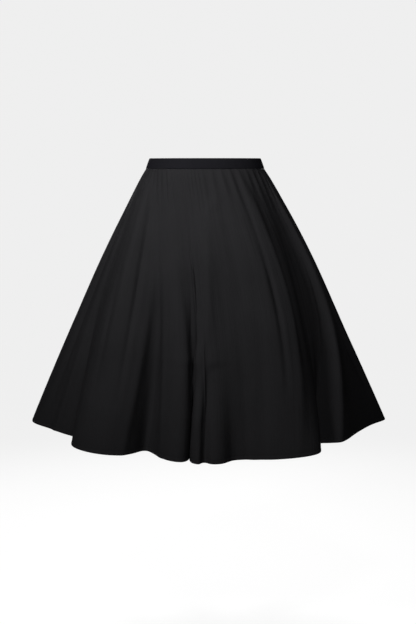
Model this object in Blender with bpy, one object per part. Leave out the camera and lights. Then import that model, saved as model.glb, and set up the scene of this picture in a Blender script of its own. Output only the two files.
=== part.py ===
"""Gathered midi skirt on a narrow shaped waistband, as it hangs when worn, with nobody in it.

Metres, +Z up. The front of the skirt faces -Y, and left and right are the wearer's, so +X is the left side.
The origin is the middle of the waist, halfway up the waistband, where the wearer's waist holds the skirt.

A full skirt is cut as one front and two backs, gathered evenly into a waistband and closed with a concealed
zip at the centre back. Each piece of cloth is a wall of its real form. Its upper edge follows the waist and
its hem a closed curve through the flutes in the table below. Lines of cloth run from one to the other, and
some of them swing a little to the side on the way.
"""

import math

import bmesh
import bpy
import numpy as np
from mathutils import Matrix, Vector

MM = 0.001

# Waist: an ellipse, flatter from front to back than from side to side
WAIST_DEPTH_SHARE = 0.75
BAND_TOP_Z = 12.0 * MM
BAND_LOW_Z = -12.0 * MM
BAND_TOP_HALF_WIDTH = 127.6 * MM
BAND_LOW_HALF_WIDTH = 136.4 * MM
BAND_WALL = 2.4 * MM
BAND_EDGE_ROUND = 0.6 * MM
BAND_SECTIONS = 72
BAND_OPENING = 1.6 * MM

# Skirt cloth
SEAM_GAP = 0.4 * MM
SEAM_Z = BAND_LOW_Z - 0.3 * MM
SEAM_HALF_WIDTH = BAND_LOW_HALF_WIDTH - 0.7 * MM
CLOTH_WALL = 1.2 * MM
HEM_WALL = 2.0 * MM
HEM_TURN = 11.0 * MM
HEM_SIDE_Z = -603.0 * MM
HEM_FRONT_Z = -632.0 * MM
HEM_BACK_Z = -626.0 * MM

# The flare is quickest just under the waist: its slope starts at FLARE_START times the even slope
FLARE_END = 0.86
FLARE_START = 1.32
FLARE_FADE = 0.28

# A fold deepens slowly where it starts and evenly lower down
FOLD_START_POWER = 1.35

# Rows of points down the cloth, as shares of the way from the waist seam to the hem
ROW_SHARES = (0.0, 0.03, 0.075, 0.13, 0.21, 0.31, 0.43, 0.56, 0.70, 0.84)
HEM_ROW_SHARES = (1.0 - HEM_TURN / (SEAM_Z - HEM_FRONT_Z), 1.0)

# Flutes of the hem, from the right side over the front, the left side and the back. Each has two rounded
# shoulders and the hollow after it, as directions from the front in degrees and distances in millimetres.
# waist_deg is where that hollow starts at the waist, columns is how many strips of cloth the flute has, rise
# is the share of the skirt's height that its fold climbs, and sway_mm is how far that hollow swings towards
# the wearer's left, halfway down, from a straight line.
FLUTE_COLUMNS = (
    "name", "first_deg", "first_mm", "second_deg", "second_mm", "hollow_deg", "hollow_mm",
    "waist_deg", "columns", "rise", "sway_mm",
)
FLUTES = (
    ("right_side", -96.5, 404, -88.5, 406, -77.0, 363, -84, 12, 0.95, 0),
    ("right_hip", -71.0, 347, -66.2, 333, -61.8, 326, -74, 8, 0.60, -40),
    ("right_front", -57.2, 350, -34.0, 309, -30.8, 251, -50, 20, 0.75, 14),
    ("right_inner", -16.8, 286, -8.6, 285, -7.3, 250, -26, 16, 0.72, 20),
    ("small_right", -4.9, 296, -2.2, 301, -0.8, 290, -18, 8, 0.24, 10),
    ("small_left", 1.4, 297, 7.4, 300, 12.0, 282, -4, 16, 0.36, 6),
    ("left_front", 22.5, 304, 47.2, 341, 51.0, 300, 68, 32, 0.46, 84),
    ("left_hip", 57.0, 345, 66.5, 360, 77.5, 373, 82, 16, 0.90, 54),
    ("left_side", 87.0, 403, 93.5, 429, 101.5, 382, 101, 12, 1.00, 0),
    ("left_back", 109.0, 388, 122.0, 370, 128.0, 318, 125, 16, 0.80, 0),
    ("left_back_mid", 138.0, 350, 150.0, 338, 155.0, 288, 151, 16, 0.90, -8),
    ("left_back_inner", 163.0, 326, 173.0, 324, 180.0, 280, 180, 16, 0.70, 0),
    ("right_back_inner", 188.0, 324, 198.0, 328, 204.0, 284, 208, 16, 0.75, 8),
    ("right_back_mid", 211.0, 338, 223.0, 350, 230.0, 310, 234, 16, 0.85, -6),
    ("right_back", 237.0, 366, 250.0, 390, 257.0, 372, 259, 16, 0.80, 0),
)
SWAY_POWER = 1.1
CURVE_SAMPLES = 600
TIGHT_BEND_WEIGHT = 10.0 * MM
PLAIN_FORM_REACH = 75.0 * MM

# Soft creases and, where the depth is negative, soft ridges. Each runs from a place at the waist to a place
# at the hem, where 2.5 is halfway through the third flute of the table.
CREASE_COLUMNS = ("name", "waist_place", "hem_place", "from_share", "to_share", "half_width_mm", "depth_mm")
CREASES = (
    ("right_side_hollow", 0.85, 0.85, 0.12, 0.95, 10, 7.0),
    ("right_side_ridge", 1.35, 1.15, 0.45, 1.20, 10, -3.0),
    ("right_edge_line", 2.45, 2.42, 0.35, 0.85, 7, 3.0),
    ("right_front_ridge", 2.55, 2.50, 0.03, 0.75, 13, -5.0),
    ("right_front_line", 2.79, 2.62, 0.00, 0.85, 7, 6.0),
    ("right_front_low_ridge", 3.05, 2.74, 0.30, 1.15, 11, -4.0),
    ("right_front_hollow", 3.05, 2.97, 0.30, 1.20, 14, 5.0),
    ("right_inner_ridge", 3.05, 3.34, 0.30, 1.10, 10, -3.5),
    ("right_inner_line", 4.00, 3.98, 0.00, 0.60, 7, 5.0),
    ("small_right_line", 5.25, 5.15, 0.05, 0.68, 8, 3.5),
    ("front_ridge", 6.30, 4.40, 0.08, 1.00, 13, -5.0),
    ("front_soft_line", 6.16, 6.18, 0.10, 0.50, 12, 2.5),
    ("front_soft_hollow", 6.30, 6.24, 0.35, 1.30, 14, 2.5),
    ("small_left_low_hollow", 6.10, 6.13, 0.62, 1.30, 9, 2.0),
    ("left_front_line", 6.42, 6.42, 0.00, 0.80, 7, 5.5),
    ("left_front_ridge", 6.55, 6.52, 0.00, 1.00, 12, -5.0),
    ("left_front_soft_hollow", 6.63, 6.58, 0.02, 0.72, 12, 8.0),
    ("left_front_edge", 6.90, 6.88, 0.40, 1.20, 8, -3.0),
    ("left_front_hollow", 6.92, 7.06, 0.05, 0.90, 7, 2.5),
    ("left_hip_ridge", 7.40, 7.40, 0.25, 1.20, 11, -4.5),
    ("left_hip_line", 7.38, 8.55, 0.15, 0.90, 11, 11.0),
    ("left_back_line", 9.60, 9.60, 0.02, 0.65, 9, 4.0),
    ("left_back_ridge", 10.40, 10.30, 0.10, 0.90, 12, -3.5),
    ("left_back_inner_line", 11.40, 11.40, 0.10, 0.60, 9, 3.5),
    ("right_back_inner_line", 12.45, 12.45, 0.10, 0.60, 9, 4.0),
    ("right_back_ridge", 13.50, 13.60, 0.05, 0.85, 12, -3.5),
    ("right_back_line", 14.35, 14.35, 0.02, 0.65, 9, 4.0),
)
CREASE_END_POWER = 0.7
CREASE_NARROWEST = 10.0 * MM

# The panels, from seam to seam, as places in the table: the side seams and the centre back
PANELS = (
    ("skirt_front", 0.5, 8.5),
    ("skirt_back_left", 8.5, 12.0),
    ("skirt_back_right", 12.0, 15.5),
)

# Gathers: a wave of cloth every GATHER_COLUMNS columns, which die out at uneven lengths below the seam
GATHER_COLUMNS = 4
GATHER_DEEPEST = 1.6 * MM
GATHER_SHARE_OF_WAVE = 0.12
GATHER_AT_SEAM = 0.35
GATHER_FULL_AT = 0.035
GATHER_SHORTEST = 0.05
GATHER_LONGEST = 0.15
GATHER_SMALLEST = 0.65
GATHER_SEED = 11
ZIP_FLAT_DEG = 12.0

# Concealed zip at the centre back, measured in the slope of the band's outer face
ZIP_TOP_Z = BAND_TOP_Z - 1.5 * MM
ZIP_LOW_Z = -190.0 * MM
ZIP_STEP_BELOW = 3.0 * MM
ZIP_ON_CLOTH_Z = -27.0 * MM
ZIP_CLOTH_ROWS = 7
ZIP_COLUMNS = 4
ZIP_REACH_DEG = 40.0
TAPE_WIDTH = 12.0 * MM
TAPE_WALL = 0.7 * MM
CHAIN_TOP_Z = -2.2 * MM
CHAIN_WIDTH = 4.4 * MM
CHAIN_WALL = 1.7 * MM
ZIP_GAP = 0.35 * MM
SLIDER_Z = 5.5 * MM
SLIDER_WIDTH = 4.4 * MM
SLIDER_TOP = 2.9 * MM
SLIDER_LOW = -5.5 * MM
SLIDER_PLATE = 1.2 * MM
SLIDER_BACK_PLATE = 1.6 * MM
SLIDER_OUT_GAP = 0.3 * MM
SLIDER_IN_GAP = 0.45 * MM
NECK_WIDTH = 1.0 * MM
NECK_TOP = 2.1 * MM
NECK_LOW = -2.5 * MM
JOIN_DEPTH = 0.2 * MM
BAIL_WIDTH = 1.2 * MM
BAIL_WIRE = 0.9 * MM
BAIL_OPENING = (4.2 * MM, 2.2 * MM)
BAIL_BELOW_AXIS = 1.1 * MM
TAB_AXIS_DOWN = 2.1 * MM
TAB_AXIS_OUT = 2.6 * MM
TAB_WALL = 1.0 * MM
TAB_WIDTH = 4.4 * MM
TAB_TIP_WIDTH = 5.4 * MM
TAB_LENGTH = 14.0 * MM
TAB_TIP_STEPS = 8
TAB_HOLE = (2.0 * MM, 4.6 * MM)


def named(columns, rows):
    return [dict(zip(columns, row)) for row in rows]


def clear_scene():
    for obj in list(bpy.data.objects):
        bpy.data.objects.remove(obj)


def finish(name, colour, roughness, metallic=0.0):
    """A plain material of one colour."""
    material = bpy.data.materials.new(name)
    material.use_nodes = True
    shader = material.node_tree.nodes["Principled BSDF"]
    shader.inputs["Base Color"].default_value = (*colour, 1.0)
    shader.inputs["Roughness"].default_value = roughness
    shader.inputs["Metallic"].default_value = metallic
    return material


def direction(degrees):
    """The level unit vector that many degrees round from the front, towards the left side."""
    angle = math.radians(degrees)
    return np.array([math.sin(angle), -math.cos(angle)])


def on_ellipse(half_width, degrees):
    return direction(degrees) * np.array([half_width, half_width * WAIST_DEPTH_SHARE])


def closed_spline(points):
    """The smooth closed curve through points, as cloth bends, and the distance along it of each point."""
    p = np.asarray(points)
    n = len(p)
    run = np.linalg.norm(np.roll(p, -1, 0) - p, axis=1)
    system = np.zeros((n, n))
    bend = np.zeros_like(p)
    for i in range(n):
        j = (i + 1) % n
        system[i, i - 1] = run[i - 1]
        system[i, i] = 2 * (run[i - 1] + run[i])
        system[i, j] = run[i]
        bend[i] = 6 * ((p[j] - p[i]) / run[i] - (p[i] - p[i - 1]) / run[i - 1])
    second = np.linalg.solve(system, bend)
    knots = np.concatenate([[0.0], np.cumsum(run)])

    def at(distance):
        distance = distance % knots[-1]
        i = min(int(np.searchsorted(knots, distance, "right")) - 1, n - 1)
        j = (i + 1) % n
        ahead = knots[i + 1] - distance
        past = distance - knots[i]
        curved = (second[i] * ahead**3 + second[j] * past**3) / (6 * run[i])
        from_i = (p[i] / run[i] - second[i] * run[i] / 6) * ahead
        from_j = (p[j] / run[i] - second[j] * run[i] / 6) * past
        return curved + from_i + from_j

    return at, knots


def hem_curve(flutes):
    points = []
    for flute in flutes:
        for place in ("first", "second", "hollow"):
            points.append(direction(flute[place + "_deg"]) * flute[place + "_mm"] * MM)
    return closed_spline(points)


def spaced_along(at, start, end, count):
    """Distances along a curve for count columns, closer together where it bends tightly."""
    fine = np.linspace(start, end, CURVE_SAMPLES)
    points = np.array([at(s) for s in fine])
    steps = np.diff(points, axis=0)
    turn = np.abs(np.diff(np.unwrap(np.arctan2(steps[:, 1], steps[:, 0]))))
    turn = np.concatenate([[0.0], turn])
    effort = np.concatenate([[0.0], np.cumsum(np.linalg.norm(steps, axis=1) + TIGHT_BEND_WEIGHT * turn)])
    return np.interp(np.arange(count) / count * effort[-1], effort, fine)


def smoothed(values, hem, reach):
    """Each column's value averaged with its neighbours' along the hem, within about reach."""
    after = np.linalg.norm(np.roll(hem, -1, 0) - hem, axis=1)
    place = np.concatenate([[0.0], np.cumsum(after)[:-1]])
    total = after.sum()
    apart = place[:, None] - place[None, :]
    apart = np.abs((apart + total / 2) % total - total / 2)
    share = np.exp(-((apart / reach) ** 2)) * (after + np.roll(after, 1))
    return share @ values / share.sum(axis=1)[:, None]


def cloth_columns(flutes):
    """For every column of cloth: its hem point in plan, its place at the waist in degrees, its fold's rise
    and sway, and its place in the table, where 2.5 is halfway through the third flute."""
    at, knots = hem_curve(flutes)
    hem, waist_deg, rise, sway, flute_place = [], [], [], [], []
    for i, flute in enumerate(flutes):
        start = knots[3 * i - 1] if i else knots[-2] - knots[-1]
        before_deg = flutes[i - 1]["waist_deg"] - (0 if i else 360)
        count = flute["columns"]
        for k, distance in enumerate(spaced_along(at, start, knots[3 * i + 2], count)):
            share = k / count
            hem.append(at(distance))
            waist_deg.append(before_deg + (flute["waist_deg"] - before_deg) * share)
            rise.append(flutes[i - 1]["rise"] * (1 - share) + flute["rise"] * share)
            sway.append((flutes[i - 1]["sway_mm"] * (1 - share) + flute["sway_mm"] * share) * MM)
            flute_place.append(i + share)
    return tuple(np.array(values) for values in (hem, waist_deg, rise, sway, flute_place))


def flare(share):
    """How far out the plain form is, from 0 at the waist seam to 1 at the hem."""
    extra = (FLARE_START - FLARE_END) * FLARE_FADE

    def out(s):
        return FLARE_END * s + extra * (1 - math.exp(-s / FLARE_FADE))

    return out(share) / out(1.0)


def fold_growth(share, rise):
    """How deep the hem's folds are at a height: nothing above their rise, whole at the hem."""
    climbed = np.clip((share - (1 - rise)) / rise, 0.0, 1.0)
    even = climbed**2 * (3 - 2 * climbed)
    return (climbed**FOLD_START_POWER + even) / 2


def hem_height(hem):
    """The hem dips at the front and back, where the skirt flares least."""
    across = np.cos(np.arctan2(hem[:, 0], -hem[:, 1]))
    lowest = np.where(across > 0, HEM_FRONT_Z, HEM_BACK_Z)
    return HEM_SIDE_Z + (lowest - HEM_SIDE_Z) * across**2


def gather_depth(waist_deg, share):
    """How far each column stands out or in because of the gathers."""
    count = len(waist_deg)
    spacing = np.abs(np.roll(waist_deg, -1) - waist_deg)
    spacing[-1] = spacing[-2]
    wave = np.radians(spacing) * SEAM_HALF_WIDTH * GATHER_COLUMNS
    waves = count // GATHER_COLUMNS
    uneven = np.random.default_rng(GATHER_SEED)
    length = uneven.uniform(GATHER_SHORTEST, GATHER_LONGEST, waves)
    size = uneven.uniform(GATHER_SMALLEST, 1.0, waves)
    number = np.arange(count) // GATHER_COLUMNS % waves
    beat = np.cos(2 * np.pi * np.arange(count) / GATHER_COLUMNS)
    if share < GATHER_FULL_AT:
        fade = GATHER_AT_SEAM + (1 - GATHER_AT_SEAM) * share / GATHER_FULL_AT
    else:
        fade = np.exp(-(((share - GATHER_FULL_AT) / length[number]) ** 2))
    from_zip = np.abs(waist_deg % 360 - 180)
    flat = np.clip(from_zip / ZIP_FLAT_DEG - 0.5, 0.0, 1.0)
    return np.minimum(GATHER_DEEPEST, GATHER_SHARE_OF_WAVE * wave) * size[number] * beat * fade * flat


def crease_depth(creases, flute_place, spacing, share):
    """How far in each column lies because of the creases."""
    depth = np.zeros(len(flute_place))
    columns = np.arange(len(flute_place))
    for crease in creases:
        if not crease["from_share"] < share < crease["to_share"]:
            continue
        place = crease["waist_place"] + (crease["hem_place"] - crease["waist_place"]) * share
        middle = np.interp(place, flute_place, columns)
        climb = (share - crease["from_share"]) / (crease["to_share"] - crease["from_share"])
        apart = (columns - middle) * np.interp(middle, columns, spacing)
        across = np.exp(-((apart / max(crease["half_width_mm"] * MM, CREASE_NARROWEST)) ** 2))
        depth += crease["depth_mm"] * MM * across * math.sin(math.pi * climb) ** CREASE_END_POWER
    return depth


def outward(grid):
    """Unit normals of a closed grid of rows of points, pointing out of the skirt."""
    round_it = np.roll(grid, -1, 1) - np.roll(grid, 1, 1)
    down = np.gradient(grid, axis=0)
    normal = np.cross(down, round_it)
    return normal / np.linalg.norm(normal, axis=2, keepdims=True)


def skirt_grid():
    """Rows of points on the outer face of the whole skirt, their normals, and each column's place at the
    waist and in the table."""
    flutes = named(FLUTE_COLUMNS, FLUTES)
    creases = named(CREASE_COLUMNS, CREASES)
    hem, waist_deg, rise, sway, flute_place = cloth_columns(flutes)
    plain = smoothed(hem, hem, PLAIN_FORM_REACH)
    sideways = np.roll(plain, -1, 0) - np.roll(plain, 1, 0)
    sideways /= np.linalg.norm(sideways, axis=1, keepdims=True)
    seam = np.array([on_ellipse(SEAM_HALF_WIDTH, d) for d in waist_deg])
    low = hem_height(hem)
    rows = []
    for share in ROW_SHARES + HEM_ROW_SHARES:
        out = flare(share)
        growth = fold_growth(share, rise)[:, None]
        swing = sway * math.sin(math.pi * share**SWAY_POWER)
        plan = seam * (1 - out) + plain * out + (hem - plain) * growth + sideways * swing[:, None]
        rows.append(np.column_stack([plan, SEAM_Z + (low - SEAM_Z) * share]))
    grid = np.array(rows)
    normal = outward(grid)
    for i, share in enumerate(ROW_SHARES + HEM_ROW_SHARES):
        spacing = np.linalg.norm(np.roll(grid[i], -1, 0) - grid[i], axis=1)
        push = gather_depth(waist_deg, share)
        push = push - crease_depth(creases, flute_place, spacing, share)
        grid[i, :, :2] += normal[i, :, :2] * push[:, None]
    return grid, outward(grid), waist_deg, flute_place


def new_object(name, mesh, material):
    obj = bpy.data.objects.new(name, mesh)
    bpy.context.scene.collection.objects.link(obj)
    mesh.materials.append(material)
    return obj


def smooth(mesh, sharp_over_deg=40.0):
    mesh.shade_smooth()
    mesh.set_sharp_from_angle(angle=math.radians(sharp_over_deg))


def wall_object(name, outer, inner, material):
    """A closed wall between two grids of points with the same rows and columns. The outer grid's columns run
    to the wearer's left over the front, and its rows run down."""
    rows, columns = outer.shape[:2]
    bm = bmesh.new()
    out = [[bm.verts.new(p) for p in row] for row in outer]
    ins = [[bm.verts.new(p) for p in row] for row in inner]
    for i in range(rows - 1):
        for j in range(columns - 1):
            bm.faces.new((out[i][j], out[i + 1][j], out[i + 1][j + 1], out[i][j + 1]))
            bm.faces.new((ins[i][j], ins[i][j + 1], ins[i + 1][j + 1], ins[i + 1][j]))
    for j in range(columns - 1):
        bm.faces.new((out[0][j], out[0][j + 1], ins[0][j + 1], ins[0][j]))
        bm.faces.new((out[-1][j], ins[-1][j], ins[-1][j + 1], out[-1][j + 1]))
    for i in range(rows - 1):
        bm.faces.new((out[i][0], ins[i][0], ins[i + 1][0], out[i + 1][0]))
        bm.faces.new((out[i][-1], out[i + 1][-1], ins[i + 1][-1], ins[i][-1]))
    bmesh.ops.recalc_face_normals(bm, faces=bm.faces)
    mesh = bpy.data.meshes.new(name)
    bm.to_mesh(mesh)
    bm.free()
    smooth(mesh)
    return new_object(name, mesh, material)


def between_seams(grid, normal, flute_place, start, end):
    """The outer and inner points of the panel between two places in the table, drawn in by half a seam gap
    at each side, and thicker where the hem is turned up."""
    turns = np.concatenate([flute_place, flute_place + len(FLUTES)])
    first = int(np.argmin(np.abs(turns - start)))
    last = int(np.argmin(np.abs(turns - end)))
    pick = np.arange(first, last + 1) % len(flute_place)
    outer = grid[:, pick].copy()
    away = normal[:, pick]
    along = outer[:, 1:] - outer[:, :-1]
    along /= np.linalg.norm(along, axis=2, keepdims=True)
    outer[:, 0] += along[:, 0] * SEAM_GAP / 2
    outer[:, -1] -= along[:, -1] * SEAM_GAP / 2
    wall = np.full(len(outer), CLOTH_WALL)
    wall[-len(HEM_ROW_SHARES):] = HEM_WALL
    return outer, outer - away * wall[:, None, None]


def band_half_width(z):
    share = (z - BAND_LOW_Z) / (BAND_TOP_Z - BAND_LOW_Z)
    return BAND_LOW_HALF_WIDTH + (BAND_TOP_HALF_WIDTH - BAND_LOW_HALF_WIDTH) * share


def add_waistband(material):
    """One shaped strip round the waist, open at the centre back. Its section has rounded edges."""
    edge = BAND_EDGE_ROUND
    wall = BAND_WALL
    section = (
        (0.0, BAND_LOW_Z + edge), (0.0, BAND_TOP_Z - edge), (edge, BAND_TOP_Z), (wall - edge, BAND_TOP_Z),
        (wall, BAND_TOP_Z - edge), (wall, BAND_LOW_Z + edge), (wall - edge, BAND_LOW_Z), (edge, BAND_LOW_Z),
    )
    half_opening = math.degrees(BAND_OPENING / 2 / BAND_TOP_HALF_WIDTH)
    bm = bmesh.new()
    rings = []
    for turn in np.linspace(-180 + half_opening, 180 - half_opening, BAND_SECTIONS + 1):
        ring = []
        for depth, z in section:
            place = on_ellipse(band_half_width(z), turn)
            place -= place / np.linalg.norm(place) * depth
            ring.append(bm.verts.new((*place, z)))
        rings.append(ring)
    for before, after in zip(rings, rings[1:]):
        for k in range(len(section)):
            n = (k + 1) % len(section)
            bm.faces.new((before[k], before[n], after[n], after[k]))
    bm.faces.new(rings[0])
    bm.faces.new(rings[-1])
    bmesh.ops.recalc_face_normals(bm, faces=bm.faces)
    mesh = bpy.data.meshes.new("waistband")
    bm.to_mesh(mesh)
    bm.free()
    smooth(mesh)
    return new_object("waistband", mesh, material)


def band_inside(x, z):
    """How far back the band's inner face is at the centre back, x from the middle and at a height z."""
    half_width = band_half_width(max(z, BAND_LOW_Z))
    turn = math.asin(x / half_width)
    return half_width * WAIST_DEPTH_SHARE * math.cos(turn) - BAND_WALL


def cloth_inside(skirt, x, z):
    """How far back the cloth's inner face is at the centre back, x from the middle and at a height z."""
    grid, normal, waist_deg = skirt
    near = np.nonzero(np.abs(waist_deg % 360 - 180) < ZIP_REACH_DEG)[0]
    inside = grid[:, near] - normal[:, near] * CLOTH_WALL
    backs = []
    heights = []
    for row in inside:
        row = row[np.argsort(row[:, 0])]
        backs.append(np.interp(x, row[:, 0], row[:, 1]))
        heights.append(np.interp(x, row[:, 0], row[:, 2]))
    return float(np.interp(-z, -np.array(heights), backs))


def inside_back(skirt, x, z):
    """The inside of the centre back. Near the band's lower edge it clears both the band and the cloth."""
    faces = []
    if z >= BAND_LOW_Z - ZIP_STEP_BELOW:
        faces.append(band_inside(x, z))
    if z <= BAND_LOW_Z:
        faces.append(cloth_inside(skirt, x, z))
    return min(faces)


def add_zip_strip(name, low_x, high_x, wall, top_z, skirt, material):
    """A strip of the zip, which lies inside the centre back a little clear of the cloth."""
    on_cloth = np.linspace(ZIP_ON_CLOTH_Z, ZIP_LOW_Z, ZIP_CLOTH_ROWS)
    outer = []
    for z in (top_z, BAND_LOW_Z, BAND_LOW_Z - ZIP_STEP_BELOW, *on_cloth):
        across = np.linspace(high_x, low_x, ZIP_COLUMNS)
        outer.append([(x, inside_back(skirt, x, z) - ZIP_GAP, z) for x in across])
    outer = np.array(outer)
    return wall_object(name, outer, outer - np.array([0.0, wall, 0.0]), material)


def box_mesh(bm, low, high):
    """Adds a box between two corners."""
    size = Vector(high) - Vector(low)
    middle = (Vector(high) + Vector(low)) / 2
    made = bmesh.ops.create_cube(bm, size=1.0)
    bmesh.ops.scale(bm, verts=made["verts"], vec=size)
    bmesh.ops.translate(bm, verts=made["verts"], vec=middle)


def box_object(name, low, high):
    mesh = bpy.data.meshes.new(name)
    bm = bmesh.new()
    box_mesh(bm, low, high)
    bm.to_mesh(mesh)
    bm.free()
    obj = bpy.data.objects.new(name, mesh)
    bpy.context.scene.collection.objects.link(obj)
    return obj


def combine(base, operation, *others):
    """Cuts or joins the others into base, and removes them."""
    for other in others:
        modifier = base.modifiers.new("join", "BOOLEAN")
        modifier.operation = operation
        modifier.object = other
        bpy.context.view_layer.objects.active = base
        bpy.ops.object.modifier_apply(modifier=modifier.name)
        bpy.data.objects.remove(other)
    return base


def band_slope_frame(z):
    """A frame on the band's outer face at the centre back: X across, Y out of the face, Z up the slope."""
    back = band_half_width(z) * WAIST_DEPTH_SHARE
    run = (BAND_LOW_HALF_WIDTH - BAND_TOP_HALF_WIDTH) * WAIST_DEPTH_SHARE
    lean = math.atan2(run, BAND_TOP_Z - BAND_LOW_Z)
    return Matrix.Translation((0, back, z)) @ Matrix.Rotation(lean, 4, "X")


def add_slider(material):
    """The zip's slider: a plate inside and one outside the band, a neck through its opening, and a bail."""
    half = SLIDER_WIDTH / 2
    face = SLIDER_OUT_GAP + SLIDER_PLATE
    inside = -BAND_WALL - SLIDER_IN_GAP
    slider = box_object("zip_slider", (-half, SLIDER_OUT_GAP, SLIDER_LOW), (half, face, SLIDER_TOP))
    neck = box_object(
        "neck",
        (-NECK_WIDTH / 2, inside - JOIN_DEPTH, NECK_LOW),
        (NECK_WIDTH / 2, SLIDER_OUT_GAP + JOIN_DEPTH, NECK_TOP),
    )
    back_plate = box_object(
        "back_plate", (-half, inside - SLIDER_BACK_PLATE, SLIDER_LOW), (half, inside, SLIDER_TOP)
    )
    opening, rise = BAIL_OPENING
    low = -TAB_AXIS_DOWN - BAIL_BELOW_AXIS
    bail = box_object(
        "bail",
        (-BAIL_WIDTH / 2, face - JOIN_DEPTH, low - BAIL_WIRE),
        (BAIL_WIDTH / 2, face + rise + BAIL_WIRE, low + opening + BAIL_WIRE),
    )
    bail_hole = box_object("bail_hole", (-BAIL_WIDTH, face, low), (BAIL_WIDTH, face + rise, low + opening))
    combine(bail, "DIFFERENCE", bail_hole)
    combine(slider, "UNION", neck, back_plate, bail)
    slider.data.materials.append(material)
    slider.matrix_world = band_slope_frame(SLIDER_Z)
    return slider


def add_pull_tab(material):
    """The pull tab hangs from the bail by the bar above its hole. Its origin is on that bar's axis."""
    half = TAB_WIDTH / 2
    bar = TAB_WALL / 2
    hole_width, hole_length = TAB_HOLE
    tip = TAB_TIP_WIDTH / 2
    outline = [(-half, bar), (half, bar), (half, -bar - hole_length)]
    for angle in np.linspace(0.0, math.pi, TAB_TIP_STEPS + 1):
        outline.append((tip * math.cos(angle), -TAB_LENGTH + tip - tip * math.sin(angle)))
    outline.append((-half, -bar - hole_length))
    bm = bmesh.new()
    face = bm.faces.new([bm.verts.new((x, -TAB_WALL / 2, z)) for x, z in outline])
    made = bmesh.ops.extrude_face_region(bm, geom=[face])
    moved = [v for v in made["geom"] if isinstance(v, bmesh.types.BMVert)]
    bmesh.ops.translate(bm, verts=moved, vec=(0, TAB_WALL, 0))
    bmesh.ops.recalc_face_normals(bm, faces=bm.faces)
    mesh = bpy.data.meshes.new("zip_pull_tab")
    bm.to_mesh(mesh)
    bm.free()
    tab = new_object("zip_pull_tab", mesh, material)
    hole = box_object(
        "tab_hole",
        (-hole_width / 2, -TAB_WALL, -bar - hole_length),
        (hole_width / 2, TAB_WALL, -bar),
    )
    combine(tab, "DIFFERENCE", hole)
    tab.matrix_world = band_slope_frame(SLIDER_Z) @ Matrix.Translation((0, TAB_AXIS_OUT, -TAB_AXIS_DOWN))
    return tab


def build():
    clear_scene()
    cloth = finish("black cloth", (0.012, 0.012, 0.013), 0.85)
    band_cloth = finish("black band cloth", (0.010, 0.010, 0.012), 0.75)
    tape = finish("black zip tape", (0.010, 0.010, 0.010), 0.8)
    metal = finish("black enamelled metal", (0.012, 0.012, 0.013), 0.35, 0.6)
    grid, normal, waist_deg, flute_place = skirt_grid()
    for name, start, end in PANELS:
        outer, inner = between_seams(grid, normal, flute_place, start, end)
        wall_object(name, outer, inner, cloth)
    add_waistband(band_cloth)
    half = CHAIN_WIDTH / 2
    edge = half + ZIP_GAP
    skirt = (grid, normal, waist_deg)
    add_zip_strip("zip_tape_left", edge, edge + TAPE_WIDTH, TAPE_WALL, ZIP_TOP_Z, skirt, tape)
    add_zip_strip("zip_tape_right", -edge - TAPE_WIDTH, -edge, TAPE_WALL, ZIP_TOP_Z, skirt, tape)
    add_zip_strip("zip_chain", -half, half, CHAIN_WALL, CHAIN_TOP_Z, skirt, tape)
    add_slider(metal)
    add_pull_tab(metal)


build()
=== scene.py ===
# %% [markdown]
# # A gathered black midi skirt
#
# A full skirt is a flat piece of cloth gathered into a narrow waistband. It hangs here as it does when it is worn,
# with nobody in it. The fixed frame already holds each cut piece as a plain wall at its real size, so this lesson
# gives every piece its real surface: fine gathers, soft folds, a sewn hem, a zip, and cloth that looks like cloth.

# %% Loading the fixed frame
import math

import bpy
import numpy as np
from mathutils import Matrix, Vector


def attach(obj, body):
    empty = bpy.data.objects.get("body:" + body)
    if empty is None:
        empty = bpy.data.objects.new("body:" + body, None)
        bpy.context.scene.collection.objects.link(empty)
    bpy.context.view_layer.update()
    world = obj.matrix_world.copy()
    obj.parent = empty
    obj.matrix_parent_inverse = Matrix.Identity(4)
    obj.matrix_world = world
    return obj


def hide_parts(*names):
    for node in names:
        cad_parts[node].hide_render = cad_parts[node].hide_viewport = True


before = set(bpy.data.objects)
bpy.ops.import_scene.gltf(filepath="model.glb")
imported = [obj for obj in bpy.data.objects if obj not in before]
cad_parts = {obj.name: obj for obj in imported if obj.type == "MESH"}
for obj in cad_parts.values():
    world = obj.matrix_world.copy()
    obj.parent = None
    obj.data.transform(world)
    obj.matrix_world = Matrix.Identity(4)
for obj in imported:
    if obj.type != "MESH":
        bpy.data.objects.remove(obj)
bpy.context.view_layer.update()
MM = 0.001
print("nodes in the frame:", ", ".join(sorted(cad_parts)))

# %% [markdown]
# ## Small helpers
#
# An operator works on whatever is selected, so each step first clears the selection and then selects its own
# piece. Modifiers are applied as soon as they are set, so that every finished piece is a plain mesh.

# %% Helpers for selecting and for applying modifiers
CLOTH_EDGE_DEG = 50
ROUND_EDGE_DEG = 60


def select_only(obj):
    bpy.ops.object.select_all(action="DESELECT")
    obj.select_set(True)
    bpy.context.view_layer.objects.active = obj


def name_active(name):
    obj = bpy.context.object
    obj.name = name
    obj.data.name = name
    return obj


def apply_modifier(obj, kind, **settings):
    select_only(obj)
    modifier = obj.modifiers.new(kind.title(), kind)
    for key, value in settings.items():
        setattr(modifier, key, value)
    bpy.ops.object.modifier_apply(modifier=modifier.name)


def shade(obj, angle_deg):
    """Smooth shading, with a crisp line at every edge that bends more than the angle."""
    select_only(obj)
    bpy.ops.object.shade_smooth_by_angle(angle=math.radians(angle_deg))


def triangles(obj):
    return sum(len(face.vertices) - 2 for face in obj.data.polygons)


print("helpers for pieces are ready")

# %% [markdown]
# A material is a tree of nodes. These helpers add a node with its values and links in one call, start a material, and
# give it to a piece in place of what the piece had.

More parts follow.
